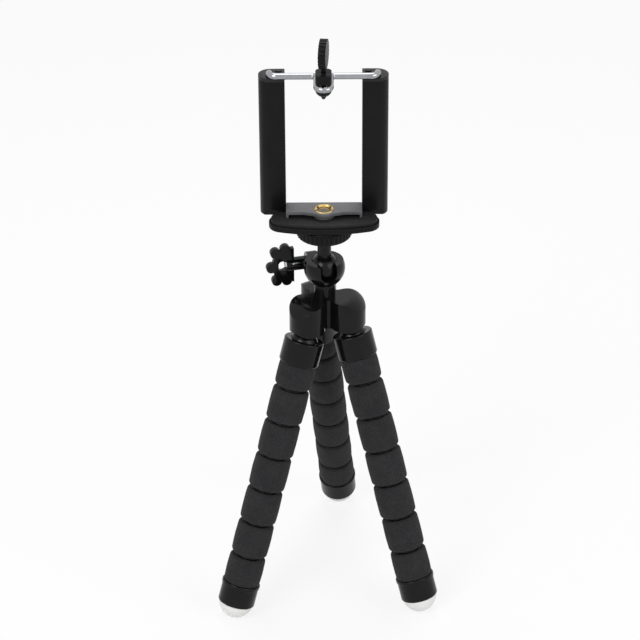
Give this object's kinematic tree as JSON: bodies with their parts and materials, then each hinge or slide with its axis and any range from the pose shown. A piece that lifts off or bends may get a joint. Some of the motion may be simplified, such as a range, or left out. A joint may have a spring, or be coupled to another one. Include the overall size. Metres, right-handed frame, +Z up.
{
  "type": "flexible leg tripod",
  "caption": "Small tripod with bendable beaded foam legs, a three-lobed hub, a clamped ball head and a sprung wire-jaw phone holder.",
  "frame": {"origin": "on the floor under the middle of the three feet's footprint", "axes": "+Z up, -Y towards the phone side and the viewer, +X to the viewer's right"},
  "size_m": [0.095, 0.1041, 0.2586],
  "materials": {
    "foam": "matte closed-cell foam",
    "gloss_black": "glossy moulded plastic",
    "matte_black": "fine satin texture",
    "grey_plastic": "satin",
    "white_rubber": "smooth",
    "pad_rubber": "grained rubber",
    "chrome": "polished",
    "steel": "zinc plated",
    "brass": "turned"
  },
  "bodies": {
    "hub": {"hub": "gloss_black", "leg_studs": "gloss_black", "clamp_nut": "steel"},
    "left_leg_root": {"left_leg_collar": "gloss_black", "left_leg_bead_1": "foam"},
    "left_leg_link_2": {"left_leg_bead_2": "foam"},
    "left_leg_link_3": {"left_leg_bead_3": "foam"},
    "left_leg_link_4": {"left_leg_bead_4": "foam"},
    "left_leg_link_5": {"left_leg_bead_5": "foam"},
    "left_leg_link_6": {"left_leg_bead_6": "foam"},
    "left_leg_tip": {"left_leg_bead_7": "foam", "left_leg_end_cap": "gloss_black", "left_leg_foot": "white_rubber"},
    "right_leg_root": {"right_leg_collar": "gloss_black", "right_leg_bead_1": "foam"},
    "right_leg_link_2": {"right_leg_bead_2": "foam"},
    "right_leg_link_3": {"right_leg_bead_3": "foam"},
    "right_leg_link_4": {"right_leg_bead_4": "foam"},
    "right_leg_link_5": {"right_leg_bead_5": "foam"},
    "right_leg_link_6": {"right_leg_bead_6": "foam"},
    "right_leg_tip": {"right_leg_bead_7": "foam", "right_leg_end_cap": "gloss_black", "right_leg_foot": "white_rubber"},
    "rear_leg_root": {"rear_leg_collar": "gloss_black", "rear_leg_bead_1": "foam"},
    "rear_leg_link_2": {"rear_leg_bead_2": "foam"},
    "rear_leg_link_3": {"rear_leg_bead_3": "foam"},
    "rear_leg_link_4": {"rear_leg_bead_4": "foam"},
    "rear_leg_link_5": {"rear_leg_bead_5": "foam"},
    "rear_leg_link_6": {"rear_leg_bead_6": "foam"},
    "rear_leg_tip": {"rear_leg_bead_7": "foam", "rear_leg_end_cap": "gloss_black", "rear_leg_foot": "white_rubber"},
    "clamp": {"clamp_screw": "chrome", "clamp_paddle": "gloss_black"},
    "ball": {"ball_stem": "gloss_black", "camera_screw": "steel"},
    "wheel": {"lock_wheel": "gloss_black"},
    "holder": {"platform_plate": "matte_black", "platform_pad": "pad_rubber", "bridge": "grey_plastic", "brass_insert": "brass", "left_rail": "matte_black", "right_rail": "matte_black", "left_rail_cap": "grey_plastic", "right_rail_cap": "grey_plastic", "rail_cap_screws": "steel", "tie_screws": "steel", "left_spring": "steel", "right_spring": "steel"},
    "jaw": {"wire_jaw": "chrome", "rod_stops": "steel", "jaw_boss": "matte_black"},
    "thumb": {"thumb_screw": "matte_black"},
    "press": {"pressure_cap": "matte_black"}
  },
  "joints": [
    {"name": "left_leg_swing", "type": "hinge", "parent": "hub", "child": "left_leg_root", "pos_m": [-0.0098, -0.01636, 0.12057], "axis": [-0.682, 0.7314, 0], "range_deg": [-19.8, 8]},
    {"name": "left_leg_bend_1", "type": "hinge", "parent": "left_leg_root", "child": "left_leg_link_2", "pos_m": [-0.01547, -0.02164, 0.09918], "axis": [0.6877, 0.6413, -0.3404], "range_deg": [-10, 10]},
    {"name": "left_leg_bend_2", "type": "hinge", "parent": "left_leg_link_2", "child": "left_leg_link_3", "pos_m": [-0.01935, -0.02526, 0.08451], "axis": [0.682, -0.7314, 0], "range_deg": [-10, 10]},
    {"name": "left_leg_bend_3", "type": "hinge", "parent": "left_leg_link_3", "child": "left_leg_link_4", "pos_m": [-0.02323, -0.02888, 0.06984], "axis": [0.6877, 0.6413, -0.3404], "range_deg": [-10, 10]},
    {"name": "left_leg_bend_4", "type": "hinge", "parent": "left_leg_link_4", "child": "left_leg_link_5", "pos_m": [-0.02712, -0.0325, 0.05518], "axis": [0.682, -0.7314, 0], "range_deg": [-10, 10]},
    {"name": "left_leg_bend_5", "type": "hinge", "parent": "left_leg_link_5", "child": "left_leg_link_6", "pos_m": [-0.031, -0.03612, 0.04051], "axis": [0.6877, 0.6413, -0.3404], "range_deg": [-10, 10]},
    {"name": "left_leg_bend_6", "type": "hinge", "parent": "left_leg_link_6", "child": "left_leg_tip", "pos_m": [-0.03488, -0.03975, 0.02584], "axis": [0.682, -0.7314, 0], "range_deg": [-10, 10]},
    {"name": "right_leg_swing", "type": "hinge", "parent": "hub", "child": "right_leg_root", "pos_m": [0.01129, -0.0111, 0.12057], "axis": [-0.7193, -0.6947, 0], "range_deg": [-19.8, 8]},
    {"name": "right_leg_bend_1", "type": "hinge", "parent": "right_leg_root", "child": "right_leg_link_2", "pos_m": [0.01667, -0.01667, 0.09918], "axis": [-0.6532, 0.6764, -0.3404], "range_deg": [-10, 10]},
    {"name": "right_leg_bend_2", "type": "hinge", "parent": "right_leg_link_2", "child": "right_leg_link_3", "pos_m": [0.02036, -0.02049, 0.08451], "axis": [0.7193, 0.6947, 0], "range_deg": [-10, 10]},
    {"name": "right_leg_bend_3", "type": "hinge", "parent": "right_leg_link_3", "child": "right_leg_link_4", "pos_m": [0.02405, -0.02431, 0.06984], "axis": [-0.6532, 0.6764, -0.3404], "range_deg": [-10, 10]},
    {"name": "right_leg_bend_4", "type": "hinge", "parent": "right_leg_link_4", "child": "right_leg_link_5", "pos_m": [0.02773, -0.02813, 0.05518], "axis": [0.7193, 0.6947, 0], "range_deg": [-10, 10]},
    {"name": "right_leg_bend_5", "type": "hinge", "parent": "right_leg_link_5", "child": "right_leg_link_6", "pos_m": [0.03142, -0.03195, 0.04051], "axis": [-0.6532, 0.6764, -0.3404], "range_deg": [-10, 10]},
    {"name": "right_leg_bend_6", "type": "hinge", "parent": "right_leg_link_6", "child": "right_leg_tip", "pos_m": [0.03511, -0.03577, 0.02584], "axis": [0.7193, 0.6947, 0], "range_deg": [-10, 10]},
    {"name": "rear_leg_swing", "type": "hinge", "parent": "hub", "child": "rear_leg_root", "pos_m": [-0.00381, 0.00454, 0.12057], "axis": [0.9744, -0.225, 0], "range_deg": [-19.8, 8]},
    {"name": "rear_leg_bend_1", "type": "hinge", "parent": "rear_leg_root", "child": "rear_leg_link_2", "pos_m": [-0.00207, 0.01209, 0.09918], "axis": [-0.2115, -0.9162, -0.3404], "range_deg": [-10, 10]},
    {"name": "rear_leg_bend_2", "type": "hinge", "parent": "rear_leg_link_2", "child": "rear_leg_link_3", "pos_m": [-0.00087, 0.01726, 0.08451], "axis": [-0.9744, 0.225, 0], "range_deg": [-10, 10]},
    {"name": "rear_leg_bend_3", "type": "hinge", "parent": "rear_leg_link_3", "child": "rear_leg_link_4", "pos_m": [0.00032, 0.02243, 0.06984], "axis": [-0.2115, -0.9162, -0.3404], "range_deg": [-10, 10]},
    {"name": "rear_leg_bend_4", "type": "hinge", "parent": "rear_leg_link_4", "child": "rear_leg_link_5", "pos_m": [0.00152, 0.02761, 0.05518], "axis": [-0.9744, 0.225, 0], "range_deg": [-10, 10]},
    {"name": "rear_leg_bend_5", "type": "hinge", "parent": "rear_leg_link_5", "child": "rear_leg_link_6", "pos_m": [0.00271, 0.03278, 0.04051], "axis": [-0.2115, -0.9162, -0.3404], "range_deg": [-10, 10]},
    {"name": "rear_leg_bend_6", "type": "hinge", "parent": "rear_leg_link_6", "child": "rear_leg_tip", "pos_m": [0.0039, 0.03795, 0.02584], "axis": [-0.9744, 0.225, 0], "range_deg": [-10, 10]},
    {"name": "clamp_turn", "type": "hinge", "parent": "hub", "child": "clamp", "pos_m": [-0.00351, 0.00333, 0.14955], "axis": [0.9703, 0.2419, 0], "range_deg": [-90, 270]},
    {"name": "ball_tilt", "type": "hinge", "parent": "hub", "child": "ball", "pos_m": [-0.00077, -0.00764, 0.15265], "axis": [0.9703, 0.2419, 0], "range_deg": [-25, 90]},
    {"name": "wheel_turn", "type": "hinge", "parent": "ball", "child": "wheel", "pos_m": [-0.00077, -0.00764, 0.16835], "axis": [0, 0, 1], "continuous": true},
    {"name": "holder_swivel", "type": "hinge", "parent": "ball", "child": "holder", "pos_m": [-0.00077, -0.00764, 0.17345], "axis": [0, 0, 1], "continuous": true},
    {"name": "jaw_slide", "type": "slide", "parent": "holder", "child": "jaw", "axis": [0, 0, 1], "range_m": [0, 0.03], "stiffness_N_per_m": 150, "springref_m": -0.015, "deforming": ["left_spring", "right_spring"]},
    {"name": "thumb_turn", "type": "hinge", "parent": "jaw", "child": "thumb", "pos_m": [-0.00077, -0.01294, 0.2387], "axis": [0, 0, 1], "range_deg": [0, 725]},
    {"name": "press_slide", "type": "slide", "parent": "jaw", "child": "press", "axis": [0, 0, -1], "range_m": [0, 0.001]}
  ],
  "couplings": [
    {"joint": "thumb_turn", "follows": "press_slide", "rad_per_m": 12566}
  ]
}
